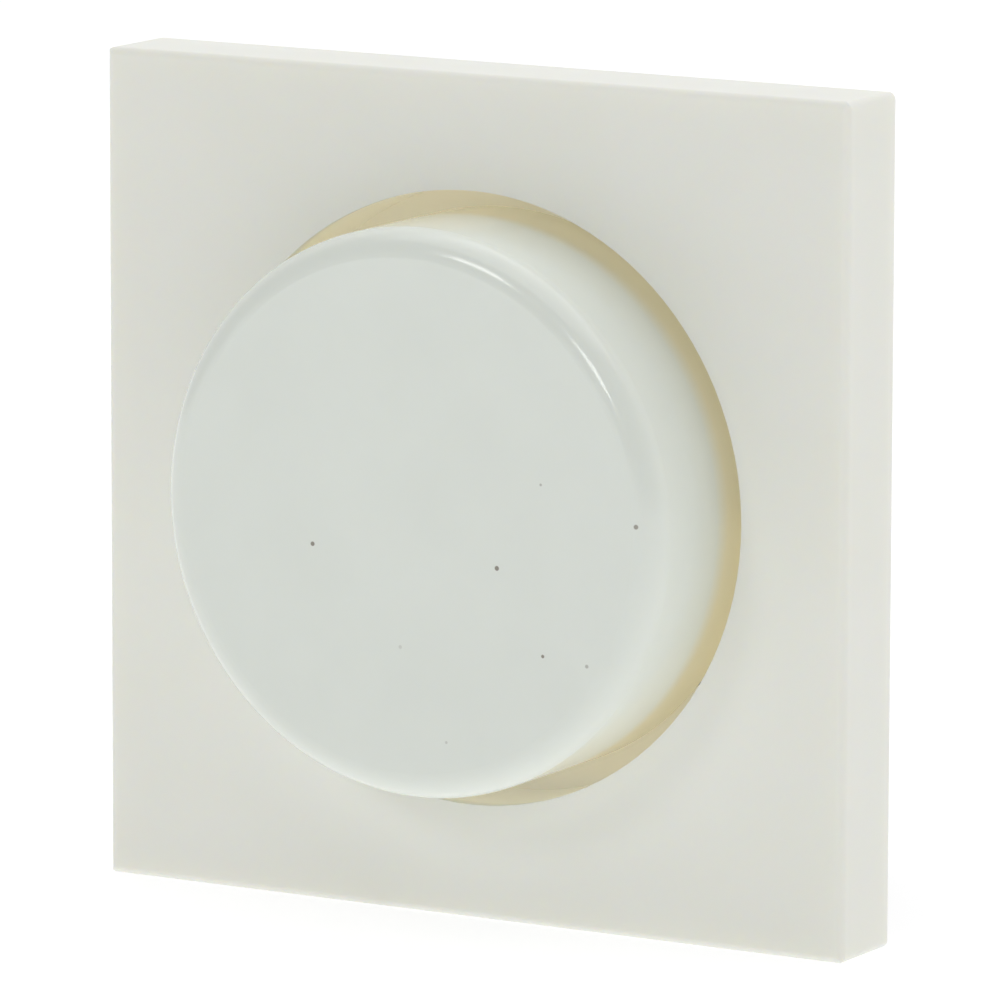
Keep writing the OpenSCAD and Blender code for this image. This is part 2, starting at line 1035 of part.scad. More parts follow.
// Slotted rotor of the trimmer, set with a small screwdriver
module trimmer_rotor() {
    slot = [0.6, 3];
    slot_depth = 0.8;
    color("#f0efe6")
        translate([trimmer_at[0], 0, trimmer_at[1]])
            difference() {
                slab(rotor_front, rotor_back)
                    circle(rotor_r);
                slab(rotor_front - past, rotor_front + slot_depth)
                    square(slot, center = true);
            }
}

// ---------- Terminals ----------

// Moulded block with one pocket for each clamp
module terminal_block() {
    pocket = clamp_w / 2 + slide_gap;
    block_z = [terminal_z - block_h / 2 + slide_gap, terminal_z + block_h / 2];
    color("#8d9196")
        difference() {
            box3([-block_w / 2, block_w / 2], [board_back, block_back], block_z);
            for_each_terminal() {
                box3([-pocket, pocket], [clamp_front - slide_gap, clamp_back + slide_gap],
                    [terminal_z - pocket, terminal_z + pocket]);
                translate([0, 0, terminal_z])
                    slab(clamp_back, block_back + past)
                        circle(wire_r + wire_funnel);
                translate([0, terminal_screw_y, block_z[0] - past])
                    cylinder(h = block_h / 2, r = driver_hole_r);
            }
        }
}

// Brass clamps that grip the wires
module terminal_clamps() {
    half = clamp_w / 2;
    color(brass)
        for_each_terminal()
            difference() {
                box3([-half, half], [clamp_front, clamp_back], [terminal_z - half, terminal_z + half]);
                translate([0, 0, terminal_z])
                    slab(clamp_back - wire_hole_depth, clamp_back + past)
                        circle(wire_r);
                translate([0, terminal_screw_y, terminal_z - half - past])
                    cylinder(h = half + past, r = terminal_screw_r + gap);
            }
}

// Clamping screws, backed off so that the wire holes are free
module terminal_screws() {
    head_low = terminal_head_z[0];
    head_top = terminal_head_z[1];
    slot_half_w = terminal_slot[0] / 2;
    shank_top = terminal_z - wire_r - slide_gap;
    color(zinc)
        for_each_terminal()
            translate([0, terminal_screw_y, 0]) {
                difference() {
                    translate([0, 0, head_low])
                        cylinder(h = head_top - head_low, r = terminal_head_r);
                    box3(
                        [-terminal_head_r, terminal_head_r],
                        [-slot_half_w, slot_half_w],
                        [head_low - past, head_low + terminal_slot[1]]
                    );
                }
                translate([0, 0, head_top - gap])
                    cylinder(h = shank_top - head_top + gap, r = terminal_screw_r);
            }
}

// ---------- The nodes ----------

cover_plate();
knob();
knob_clip();
support_frame();
frame_screws();
housing_front();
housing_rear();
threaded_neck();
lock_washer();
retaining_nut();
shaft();
shaft_circlip();
pot_case();
resistive_track();
wiper_disc();
wiper_contact();
pot_pins();
switch_case();
plunger();
plunger_spring();
contact_bridge();
fixed_contacts();
circuit_board();
triac();
heat_sink();
heat_sink_screw();
choke_core();
choke_winding();
film_capacitor();
trigger_capacitor();
fuse_tube();
fuse_caps();
fuse_wire();
fuse_clips();
diac();
resistors();
trimmer_body();
trimmer_rotor();
terminal_block();
terminal_clamps();
terminal_screws();
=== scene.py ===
from math import cos, radians, sin

import bpy
from mathutils import Matrix, Vector


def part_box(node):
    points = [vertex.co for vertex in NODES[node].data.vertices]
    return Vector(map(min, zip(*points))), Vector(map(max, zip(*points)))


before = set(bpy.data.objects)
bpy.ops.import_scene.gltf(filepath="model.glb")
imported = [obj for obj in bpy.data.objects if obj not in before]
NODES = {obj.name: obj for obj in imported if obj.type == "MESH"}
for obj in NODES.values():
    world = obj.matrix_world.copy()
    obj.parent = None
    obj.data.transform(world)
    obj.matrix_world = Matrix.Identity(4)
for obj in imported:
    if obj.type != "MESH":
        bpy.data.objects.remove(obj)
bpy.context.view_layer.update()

bl_info = {
    "name": "Rotary Dimmer Looks",
    "version": (1, 0, 0),
    "blender": (4, 5, 0),
    "location": "View3D > Sidebar > Dimmer",
    "description": "Finishes, stage, light and camera for a flush-mounted rotary dimmer",
    "category": "Object",
}

MM = 0.001
PANEL_TAB = "Dimmer"

# Places taken from the frame: the plate's front face, its lower edge and how far the knob stands out of it
PLATE_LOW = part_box("cover_plate")[0]
KNOB_LOW, KNOB_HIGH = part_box("knob")
PLATE_FRONT = PLATE_LOW.y
FLOOR_LEVEL = PLATE_LOW.z
KNOB_PROUD_MM = (PLATE_FRONT - KNOB_LOW.y) / MM
# The recess is wider than the knob by this much all round
KNOB_CLEARANCE = 1.6 * MM
RECESS_R = KNOB_HIGH.x + KNOB_CLEARANCE
# Blender's wave texture turns its scale into radians at this rate
WAVE_RATE = 20


# ---------- Shared tools ----------

def linear(hex_colour, alpha=1.0):
    """Linear RGBA of an sRGB hex colour such as f2f2ee."""
    parts = [int(hex_colour[i:i + 2], 16) / 255 for i in (0, 2, 4)]
    return tuple(c / 12.92 if c <= 0.04045 else ((c + 0.055) / 1.055) ** 2.4 for c in parts) + (alpha,)


def per_metre(size_mm):
    """Texture scale at which one feature is size_mm across."""
    return 1000 / size_mm


def add_node(tree, kind, inputs=None, **settings):
    """Adds one node with its settings; inputs maps a socket to a value or to the socket that feeds it."""
    made = tree.nodes.new(kind)
    for name, value in settings.items():
        setattr(made, name, value)
    for key, value in (inputs or {}).items():
        if isinstance(value, bpy.types.NodeSocket):
            tree.links.new(value, made.inputs[key])
        else:
            made.inputs[key].default_value = value
    return made


def new_material(name, colour, **sockets):
    """A material with a Principled shader whose plain values sit on its own sockets."""
    material = bpy.data.materials.new(name)
    material.use_nodes = True
    material.diffuse_color = colour
    tree = material.node_tree
    tree.nodes.clear()
    values = {"Base Color": colour}
    values.update({key.replace("_", " "): value for key, value in sockets.items()})
    shader = add_node(tree, "ShaderNodeBsdfPrincipled", values)
    add_node(tree, "ShaderNodeOutputMaterial", {"Surface": shader.outputs["BSDF"]})
    place = add_node(tree, "ShaderNodeTexCoord").outputs["Object"]
    return material, tree, shader, place


def noise(tree, place, size_mm, detail=3.0, stretch=(1, 1, 1)):
    """Grey noise with features of size_mm, drawn out by stretch."""
    scaled = add_node(tree, "ShaderNodeMapping", {"Vector": place, "Scale": stretch})
    made = add_node(tree, "ShaderNodeTexNoise", {
        "Vector": scaled.outputs["Vector"], "Scale": per_metre(size_mm), "Detail": detail})
    return made.outputs["Fac"]


def spread(tree, value, low, high, to_low=0.0, to_high=1.0):
    """Remaps value from low..high to to_low..to_high, and clamps it."""
    made = add_node(tree, "ShaderNodeMapRange", {
        "Value": value, "From Min": low, "From Max": high, "To Min": to_low, "To Max": to_high})
    return made.outputs["Result"]


def blend_colours(tree, factor, first, second):
    """first where factor is 0, second where it is 1."""
    made = add_node(tree, "ShaderNodeMix", {0: factor, 6: first, 7: second}, data_type="RGBA")
    return made.outputs[2]


def combine(tree, operation, first, second):
    """One math operation on two values."""
    return add_node(tree, "ShaderNodeMath", {0: first, 1: second}, operation=operation).outputs[0]


def feed(tree, shader, **sources):
    """Links sources to the shader's sockets."""
    for key, source in sources.items():
        tree.links.new(source, shader.inputs[key.replace("_", " ")])


def relief(tree, height, depth_mm, strength=1.0):
    """Surface normal of a height pattern that is depth_mm deep."""
    made = add_node(tree, "ShaderNodeBump", {
        "Height": height, "Distance": depth_mm * MM, "Strength": strength})
    return made.outputs["Normal"]


def edge_mask(tree, width_mm):
    """1 on sharp edges and 0 on open faces, for wear along edges."""
    rounded = add_node(tree, "ShaderNodeBevel", {"Radius": width_mm * MM}, samples=4)
    flat = add_node(tree, "ShaderNodeNewGeometry")
    alike = add_node(tree, "ShaderNodeVectorMath", {
        0: rounded.outputs["Normal"], 1: flat.outputs["Normal"]}, operation="DOT_PRODUCT")
    return spread(tree, alike.outputs["Value"], 0.995, 0.8)


def finish_nodes(material, *names):
    """Puts one material on whole CAD pieces."""
    for name in names:
        mesh = NODES[name].data
        mesh.materials.clear()
        mesh.materials.append(material)


def soften_edges(width_mm, *names, segments=2, angle=40):
    """Rounds the sharp edges of CAD pieces, as moulding, pressing or turning leaves them."""
    for name in names:
        piece = NODES[name]
        piece.modifiers.new("join_faces", "WELD").merge_threshold = 0.002 * MM
        edge = piece.modifiers.new("soft_edges", "BEVEL")
        edge.width = width_mm * MM
        edge.segments = segments
        edge.limit_method = "ANGLE"
        edge.angle_limit = radians(angle)
        edge.use_clamp_overlap = True
        edge.harden_normals = True


# ---------- Materials ----------

def depth_mask(tree, place, start_mm, full_mm):
    """0 up to start_mm behind the plate's front face, rising to 1 at full_mm."""
    depth = add_node(tree, "ShaderNodeSeparateXYZ", {"Vector": place}).outputs["Y"]
    return spread(tree, depth, PLATE_FRONT + start_mm * MM, PLATE_FRONT + full_mm * MM)


def axis_distance(tree, place):
    """Distance from the knob's axis."""
    flat = add_node(tree, "ShaderNodeVectorMath", {0: place, 1: (1, 0, 1)}, operation="MULTIPLY")
    away = add_node(tree, "ShaderNodeVectorMath", {0: flat.outputs["Vector"]}, operation="LENGTH")
    return away.outputs["Value"]


def asa_satin_moulded(looks):
    """ASA, injection moulded in a fine-blasted tool: a soft sheen, with painted warm shade and a painted
    glow in the recess.
    """
    material, tree, shader, place = new_material(
        "asa_satin_moulded", tuple(looks.cover_colour), Roughness=0.42, IOR=1.52,
        Subsurface_Weight=0.5, Subsurface_Scale=1.5 * MM, Subsurface_Radius=(1.0, 0.85, 0.55),
        Emission_Strength=looks.painted_recess_glow)
    cloud = spread(tree, noise(tree, place, 9), 0.35, 0.65)
    faint = blend_colours(tree, cloud, tuple(looks.cover_colour), linear("ebece4"))
    # Painted shade: deep in the recess, near its wall, the colour turns warm in place of the light bounced
    # to and fro there
    inside = spread(tree, axis_distance(tree, place), RECESS_R + 0.7 * MM, RECESS_R + 0.3 * MM)
    painted_recess_mask = combine(tree, "MULTIPLY", inside, depth_mask(tree, place, 0.1, 1.2))
    # Painted light: the painted warm shade is paler on the recess's lower wall, which faces the light
    height = add_node(tree, "ShaderNodeSeparateXYZ", {"Vector": place}).outputs["Z"]
    painted_shade_height_fade = spread(tree, height, -0.99 * RECESS_R, -0.9 * RECESS_R, 0.35, 1.0)
    painted_warm_shade = combine(tree, "MULTIPLY", painted_recess_mask, painted_shade_height_fade)
    colour = blend_colours(tree, painted_warm_shade, faint, tuple(looks.painted_recess_shade_colour))
    # Blasting leaves marks under 0.1 mm wide; they are drawn at grain_mm, coarser, so that they show
    grain = noise(tree, place, looks.grain_mm, 2)
    # The emission colour is a painted glow deep in the recess, at the painted recess glow's strength; the
    # moulding is no lamp
    feed(tree, shader, Base_Color=colour, Normal=relief(tree, grain, 0.006, 0.6),
         Emission_Color=blend_colours(tree, painted_recess_mask, linear("000000"), linear("f5f2e6")),
         Roughness=spread(tree, noise(tree, place, 4), 0.3, 0.7, 0.38, 0.48))
    return material


def dust_specks(tree, place, cell_mm):
    """1 on a few small specks of mixed size, at most one in each cell_mm, and 0 elsewhere."""
    upright = add_node(tree, "ShaderNodeMapping", {"Vector": place, "Rotation": (radians(90), 0, 0)})
    cells = add_node(tree, "ShaderNodeTexVoronoi", {
        "Vector": upright.outputs["Vector"], "Scale": per_metre(cell_mm)}, voronoi_dimensions="2D")
    pick = add_node(tree, "ShaderNodeSeparateColor", {"Color": cells.outputs["Color"]})
    size = spread(tree, pick.outputs["Green"], 0, 1, 0.03, 0.06)
    near = spread(tree, combine(tree, "SUBTRACT", cells.outputs["Distance"], size), 0.0, -0.016)
    return combine(tree, "MULTIPLY", near, spread(tree, pick.outputs["Red"], 0.88, 0.98))


def asa_gloss_moulded(looks):
    """ASA, injection moulded in a polished tool: a cooler, glossier white with a few dust specks, painted
    warm shade on its side deep in the recess and a painted glow on its side.
    """
    material, tree, shader, place = new_material(
        "asa_gloss_moulded", tuple(looks.knob_colour), Roughness=0.16, IOR=1.52,
        Subsurface_Weight=0.3, Subsurface_Scale=1.2 * MM, Subsurface_Radius=(1.0, 0.9, 0.7),
        Emission_Strength=looks.painted_recess_glow * 0.44)
    cloud = spread(tree, noise(tree, place, 7), 0.35, 0.65)
    faint = blend_colours(tree, cloud, tuple(looks.knob_colour), linear("e2e7e0"))
    # Painted shade: the knob's side turns to the warm recess colour as it goes into the recess
    painted_recess_mask = depth_mask(tree, place, -0.3, 1.2)
    painted_warm_shade = blend_colours(tree, painted_recess_mask, faint, tuple(looks.painted_recess_shade_colour))
    # Painted glow on the knob's side behind its face, lifting the shade that the plate casts on it; it is
    # cut back deep in the recess
    painted_side_glow = depth_mask(tree, place, 0.05 - KNOB_PROUD_MM, 1.6 - KNOB_PROUD_MM)
    shade = combine(tree, "MULTIPLY", painted_recess_mask, 0.6)
    glow = combine(tree, "SUBTRACT", painted_side_glow, shade)
    on_face = depth_mask(tree, place, 0.0, -0.75 * KNOB_PROUD_MM)
    speck = combine(tree, "MULTIPLY", dust_specks(tree, place, 3.4), on_face)
    ripple = noise(tree, place, 2.5, 1)
    feed(tree, shader, Base_Color=blend_colours(tree, speck, painted_warm_shade, linear("8f8a7f")),
         Emission_Color=blend_colours(tree, glow, linear("000000"), linear("f5f2e6")),
         Normal=relief(tree, ripple, 0.004, 0.5),
         Roughness=spread(tree, noise(tree, place, 3), 0.3, 0.7, 0.11, 0.16))
    return material


def nylon_textured(name, hex_colour, worn_hex, roughness=0.55):
    """Glass-filled nylon, moulded in an eroded tool: matt, pebbled, and paler along its handled edges."""
    base = linear(hex_colour)
    material, tree, shader, place = new_material(name, base, Roughness=roughness, IOR=1.53)
    pebble = add_node(tree, "ShaderNodeTexVoronoi", {"Vector": place, "Scale": per_metre(0.5)})
    cloud = spread(tree, noise(tree, place, 6), 0.35, 0.65, 0.0, 0.35)
    tinted = blend_colours(tree, cloud, base, linear(worn_hex))
    worn = combine(tree, "MULTIPLY", edge_mask(tree, 0.25), 0.5)
    colour = blend_colours(tree, worn, tinted, linear(worn_hex))
    feed(tree, shader, Base_Color=colour, Normal=relief(tree, pebble.outputs["Distance"], 0.03, 0.5),
         Roughness=spread(tree, noise(tree, place, 1.5), 0.3, 0.7, roughness - 0.07, roughness + 0.08))
    return material


def pbt_moulded(name, hex_colour, roughness=0.4):
    """PBT, moulded smooth: an even, slightly waxy gloss with faint flow clouds."""
    base = linear(hex_colour)
    material, tree, shader, place = new_material(name, base, Roughness=roughness, IOR=1.55)
    lighter = tuple(min(1.0, c * 1.18 + 0.004) for c in base[:3]) + (1.0,)
    flow = spread(tree, noise(tree, place, 2.5, 4, (1, 1, 0.3)), 0.35, 0.7)
    feed(tree, shader, Base_Color=blend_colours(tree, flow, base, lighter),
         Normal=relief(tree, noise(tree, place, 0.3, 2), 0.008, 0.5),
         Roughness=spread(tree, noise(tree, place, 1.2), 0.3, 0.7, roughness - 0.06, roughness + 0.08))
    return material


def zinc_plated_steel():
    """Steel, pressed and zinc plated: a blue-grey metal with spangle clouds and brighter rubbed edges."""
    base = linear("b9bdc2")
    material, tree, shader, place = new_material("zinc_plated_steel", base, Metallic=1.0, Roughness=0.34)
    spangle = add_node(tree, "ShaderNodeTexVoronoi", {"Vector": place, "Scale": per_metre(1.8)})
    tone = add_node(tree, "ShaderNodeSeparateColor", {"Color": spangle.outputs["Color"]})
    mottled = blend_colours(tree, spread(tree, tone.outputs["Red"], 0, 1, 0, 0.5), base, linear("a7acb3"))
    colour = blend_colours(tree, edge_mask(tree, 0.2), mottled, linear("dfe1e3"))
    rolled = noise(tree, place, 0.35, 3, (0.15, 1, 1))
    feed(tree, shader, Base_Color=colour, Normal=relief(tree, rolled, 0.004, 0.5),
         Roughness=spread(tree, tone.outputs["Green"], 0, 1, 0.26, 0.42))
    return material


def spring_steel_drawn():
    """Spring steel, drawn and oil-tempered: a darker metal with fine lines along the work."""
    base = linear("9a9da1")
    material, tree, shader, place = new_material("spring_steel_drawn", base, Metallic=1.0, Roughness=0.3)
    lines = noise(tree, place, 0.2, 3, (0.2, 1, 1))
    colour = blend_colours(tree, spread(tree, lines, 0.3, 0.7), base, linear("7d8085"))
    feed(tree, shader, Base_Color=colour,
         Normal=relief(tree, lines, 0.003, 0.5), Roughness=spread(tree, lines, 0.3, 0.7, 0.24, 0.38))
    return material


def turned_rings(tree, place, pitch_mm):
    """Rings round the knob's axis, as a lathe leaves them, drawn six times coarser so that they show."""
    upright = add_node(tree, "ShaderNodeMapping", {"Vector": place, "Rotation": (radians(90), 0, 0)})
    made = add_node(tree, "ShaderNodeTexWave", {
        "Vector": upright.outputs["Vector"], "Scale": per_metre(pitch_mm) / WAVE_RATE, "Distortion": 0.6},
        wave_type="RINGS", rings_direction="Z")
    return made.outputs["Fac"]


def brass_turned():
    """Free-cutting brass, turned: yellow metal with fine rings round its axis and a little tarnish."""
    base = linear("c8a552")
    material, tree, shader, place = new_material("brass_turned", base, Metallic=1.0, Roughness=0.28)
    tarnish = spread(tree, noise(tree, place, 2.2, 5), 0.45, 0.75)
    rings = turned_rings(tree, place, 0.12)
    feed(tree, shader, Base_Color=blend_colours(tree, tarnish, base, linear("9c7c3a")),
         Normal=relief(tree, rings, 0.003, 0.4), Roughness=spread(tree, tarnish, 0, 1, 0.22, 0.42))
    return material


def bronze_strip():
    """Phosphor bronze strip, stamped: pinkish metal with rolling lines."""
    base = linear("c08a5c")
    material, tree, shader, place = new_material("bronze_strip", base, Metallic=1.0, Roughness=0.26)
    lines = noise(tree, place, 0.15, 2, (1, 1, 0.2))
    colour = blend_colours(tree, spread(tree, lines, 0.35, 0.65), base, linear("a8764c"))
    feed(tree, shader, Base_Color=colour,
         Roughness=spread(tree, lines, 0.3, 0.7, 0.2, 0.34))
    return material


def copper_enamelled():
    """Copper wire with baked enamel: deep orange metal under a clear glossy coat."""
    base = linear("b4602c")
    material, tree, shader, place = new_material(
        "copper_enamelled", base, Metallic=1.0, Roughness=0.3, Coat_Weight=0.8, Coat_Roughness=0.08)
    feed(tree, shader, Base_Color=blend_colours(
        tree, spread(tree, noise(tree, place, 1.5), 0.3, 0.7), base, linear("8f4720")))
    return material


def aluminium_extruded():
    """Aluminium, extruded and anodised clear: pale satin metal with die lines along its length."""
    base = linear("c9cbcd")
    material, tree, shader, place = new_material("aluminium_extruded", base, Metallic=1.0, Roughness=0.36)
    lines = noise(tree, place, 0.25, 3, (1, 0.05, 1))
    colour = blend_colours(tree, spread(tree, lines, 0.3, 0.7), base, linear("b4b7ba"))
    feed(tree, shader, Base_Color=colour,
         Normal=relief(tree, lines, 0.004, 0.5), Roughness=spread(tree, lines, 0.3, 0.7, 0.3, 0.45))
    return material


def ferrite_sintered():
    """Ferrite, sintered: nearly black and dull, with a gritty pore structure."""
    base = linear("35373a")
    material, tree, shader, place = new_material("ferrite_sintered", base, Roughness=0.62, IOR=1.6)
    pores = noise(tree, place, 0.2, 4)
    colour = blend_colours(tree, spread(tree, pores, 0.35, 0.65), base, linear("4a4c50"))
    feed(tree, shader, Base_Color=colour,
         Normal=relief(tree, pores, 0.02, 0.6))
    return material


def glass_fibre_board():
    """Epoxy glass board with green solder resist: a faint weave under gloss, and broad tracks."""
    base = linear("2c6a3d")
    material, tree, shader, place = new_material("glass_fibre_board", base, Roughness=0.3, IOR=1.5)
    tracks = add_node(tree, "ShaderNodeTexBrick", {
        "Vector": add_node(tree, "ShaderNodeMapping", {
            "Vector": place, "Rotation": (radians(90), 0, 0)}).outputs["Vector"],
        "Color1": linear("2c6a3d"), "Color2": linear("347545"), "Mortar": linear("1f5230"),
        "Scale": per_metre(1), "Mortar Size": 0.25, "Brick Width": 7.0, "Row Height": 3.0})
    weave = add_node(tree, "ShaderNodeTexChecker", {"Vector": place, "Scale": per_metre(0.4)})
    feed(tree, shader, Base_Color=tracks.outputs["Color"],
         Normal=relief(tree, weave.outputs["Fac"], 0.004, 0.3))
    return material


def phenolic_carbon():
    """Phenolic ring with a printed carbon track: brown board with a matt black band."""
    base = linear("6a4327")
    material, tree, shader, place = new_material("phenolic_carbon", base, Roughness=0.5, IOR=1.55)
    track_r = 5.6 * MM
    track_half_w = 1.0 * MM
    from_track = combine(tree, "SUBTRACT", axis_distance(tree, place), track_r)
    off_centre = combine(tree, "ABSOLUTE", from_track, 0.0)
    band = spread(tree, off_centre, track_half_w, 0.9 * track_half_w)
    fibres = spread(tree, noise(tree, place, 0.6, 4, (1, 1, 0.3)), 0.3, 0.7)
    board = blend_colours(tree, fibres, base, linear("55341d"))
    feed(tree, shader, Base_Color=blend_colours(tree, band, board, linear("1d1c1c")))
    return material


def resistor_lacquer():
    """Carbon-film resistor: tan lacquer with colour rings, and tinned legs."""
    tan = linear("cbb48c")
    material, tree, shader, place = new_material("resistor_lacquer", tan, Roughness=0.35, IOR=1.5)
    low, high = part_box("resistors")
    middle = (low.z + high.z) / 2
    height = add_node(tree, "ShaderNodeSeparateXYZ", {"Vector": place}).outputs["Z"]
    colour = blend_colours(tree, spread(tree, noise(tree, place, 1.2), 0.3, 0.7), tan, linear("bda377"))
    for ring, hex_colour in ((-2.2, "6b4a2b"), (-1.0, "2b2b2b"), (0.2, "b03a2a"), (2.2, "b08d3c")):
        away = combine(tree, "ABSOLUTE", combine(tree, "SUBTRACT", height, middle + ring * MM), 0.0)
        colour = blend_colours(tree, spread(tree, away, 0.32 * MM, 0.28 * MM), colour, linear(hex_colour))
    body_half = 3.1 * MM
    leg = combine(tree, "ABSOLUTE", combine(tree, "SUBTRACT", height, middle), 0.0)
    tinned = spread(tree, leg, body_half, body_half + 0.1 * MM)
    feed(tree, shader, Base_Color=blend_colours(tree, tinned, colour, linear("b7b9bb")))
    return material


def glass_clear():
    """Soda glass tube, drawn: clear, with a faint green edge."""
    material, tree, shader, place = new_material(
        "glass_clear", linear("eef4f2"), Roughness=0.03, IOR=1.52, Transmission_Weight=1.0)
    feed(tree, shader, Normal=relief(tree, noise(tree, place, 3, 1), 0.003, 0.3))
    return material


def opal_acrylic(glow):
    """Opal acrylic sheet lit from below: an even white whose soft light reaches the plate's underside."""
    milk = linear("a2a2a2")
    material, tree, shader, place = new_material(
        "opal_acrylic", milk, Roughness=0.9, IOR=1.4,
        Emission_Color=linear("ffffff"), Emission_Strength=glow)
    feed(tree, shader, Base_Color=blend_colours(
        tree, spread(tree, noise(tree, place, 60), 0.3, 0.7), milk, linear("9c9c9c")))
    return material


# ---------- Properties ----------

class DimmerLooks(bpy.types.PropertyGroup):
    """Colours and finish of the visible mouldings, with the painted shade and glow in their recess."""
    cover_colour: bpy.props.FloatVectorProperty(
        name="Cover", description="Colour of the cover plate", subtype="COLOR", size=4,
        min=0, max=1, default=linear("ecede6"))
    # Painted shade: this warm colour of the recess stands in for light bounced to and fro in it
    painted_recess_shade_colour: bpy.props.FloatVectorProperty(
        name="Recess", description="Colour of the cover deep in its recess", subtype="COLOR", size=4,
        min=0, max=1, default=linear("f6f0d8"))
    knob_colour: bpy.props.FloatVectorProperty(
        name="Knob", description="Colour of the knob", subtype="COLOR", size=4,
        min=0, max=1, default=linear("e4e9e2"))
    # Painted glow: emission in the recess and on the knob's side that lifts their shade; the mouldings are
    # no lamps
    painted_recess_glow: bpy.props.FloatProperty(
        name="Recess glow", description="Light that the translucent moulding passes into the recess",
        default=0.165, min=0)
    grain_mm: bpy.props.FloatProperty(
        name="Grain", description="Width of the cover's moulded grain in millimetres",
        default=0.35, min=0.1)


class DimmerStage(bpy.types.PropertyGroup):
    """Camera and light."""
    azimuth: bpy.props.FloatProperty(
        name="Azimuth", description="Camera's angle to the right of the plate's axis",
        subtype="ANGLE", unit="ROTATION", default=radians(30.37))
    elevation: bpy.props.FloatProperty(
        name="Elevation", description="Camera's angle above the plate's axis",
        subtype="ANGLE", unit="ROTATION", default=radians(9.71))
    roll: bpy.props.FloatProperty(
        name="Roll", description="Camera's turn about its own axis",
        subtype="ANGLE", unit="ROTATION", default=radians(0.15))
    distance: bpy.props.FloatProperty(
        name="Distance", description="From the plate's centre to the camera",
        unit="LENGTH", default=0.6115)
    aside: bpy.props.FloatProperty(
        name="Aside", description="How far the camera sits to its right", unit="LENGTH", default=-0.00108)
    above: bpy.props.FloatProperty(
        name="Above", description="How far the camera sits above its line",
        unit="LENGTH", default=-0.000936)
    lens: bpy.props.FloatProperty(
        name="Lens", description="Focal length in millimetres on a 36 mm sensor", default=339.7)
    front_white: bpy.props.FloatProperty(
        name="Front white", description="Brightness of the surrounding on the room's side",
        default=0.185, min=0)
    back_white: bpy.props.FloatProperty(
        name="Back white", description="Brightness of the surrounding behind the plate",
        default=1.0, min=0)
    floor_glow: bpy.props.FloatProperty(
        name="Floor glow", description="Light that the opal floor gives off", default=0.75, min=0)
    top_light: bpy.props.FloatProperty(
        name="Top light", description="Power of the soft light overhead",
        unit="POWER", default=4.5, min=0)
    window_light: bpy.props.FloatProperty(
        name="Window light", description="Power of each small light in front, which lines the knob",
        unit="POWER", default=0.54, min=0)


# ---------- Operators ----------

class DIMMER_OT_cover(bpy.types.Operator):
    """Finishes the cover plate"""
    bl_idname = "dimmer.cover"
    bl_label = "Cover plate"

    def execute(self, context):
        finish_nodes(asa_satin_moulded(context.scene.dimmer_looks), "cover_plate")
        return {"FINISHED"}


class DIMMER_OT_knob(bpy.types.Operator):
    """Finishes the knob and its clip"""
    bl_idname = "dimmer.knob"
    bl_label = "Knob"

    def execute(self, context):
        finish_nodes(asa_gloss_moulded(context.scene.dimmer_looks), "knob")
        finish_nodes(spring_steel_drawn(), "knob_clip", "shaft_circlip", "plunger_spring", "fuse_clips")
        return {"FINISHED"}


class DIMMER_OT_mounting(bpy.types.Operator):
    """Finishes the frame, the screws and the housing"""
    bl_idname = "dimmer.mounting"
    bl_label = "Frame and housing"

    def execute(self, context):
        finish_nodes(
            zinc_plated_steel(), "support_frame", "frame_screws", "lock_washer", "pot_pins",
            "heat_sink_screw", "fuse_caps", "fuse_wire", "terminal_screws")
        finish_nodes(
            nylon_textured("nylon_textured_grey", "46494c", "6d7174"), "housing_front", "housing_rear")
        soften_edges(0.12, "support_frame", "lock_washer")
        soften_edges(0.4, "housing_rear")
        return {"FINISHED"}


class DIMMER_OT_spindle(bpy.types.Operator):
    """Finishes the neck, the nut and the shaft"""
    bl_idname = "dimmer.spindle"
    bl_label = "Spindle"

    def execute(self, context):
        finish_nodes(
            brass_turned(), "threaded_neck", "retaining_nut", "shaft",
            "fixed_contacts", "terminal_clamps")
        return {"FINISHED"}


class DIMMER_OT_potentiometer(bpy.types.Operator):
    """Finishes the potentiometer"""
    bl_idname = "dimmer.potentiometer"
    bl_label = "Potentiometer"

    def execute(self, context):
        finish_nodes(pbt_moulded("pbt_moulded_black", "232527"), "pot_case", "switch_case", "triac")
        finish_nodes(phenolic_carbon(), "resistive_track")
        finish_nodes(pbt_moulded("acetal_moulded_cream", "e9e3d0", 0.35), "wiper_disc", "trimmer_rotor")
        finish_nodes(bronze_strip(), "wiper_contact", "contact_bridge")
        return {"FINISHED"}


class DIMMER_OT_electronics(bpy.types.Operator):
    """Finishes the board and the pieces on it"""
    bl_idname = "dimmer.electronics"
    bl_label = "Board"

    def execute(self, context):
        finish_nodes(pbt_moulded("pbt_moulded_red", "a83229"), "plunger")
        finish_nodes(glass_fibre_board(), "circuit_board")
        finish_nodes(aluminium_extruded(), "heat_sink")
        finish_nodes(ferrite_sintered(), "choke_core")
        finish_nodes(copper_enamelled(), "choke_winding")
        finish_nodes(pbt_moulded("polypropylene_box_yellow", "d2ba35", 0.45), "film_capacitor")
        finish_nodes(pbt_moulded("epoxy_dipped_red", "a5432a", 0.22), "trigger_capacitor")
        finish_nodes(glass_clear(), "fuse_tube")
        finish_nodes(pbt_moulded("glass_painted_blue", "5f7f9e", 0.2), "diac")
        finish_nodes(resistor_lacquer(), "resistors")
        finish_nodes(pbt_moulded("pbt_moulded_blue", "2a5aa0"), "trimmer_body")
        finish_nodes(nylon_textured("nylon_moulded_pale", "8b8f93", "a6aaad", 0.45), "terminal_block")
        return {"FINISHED"}


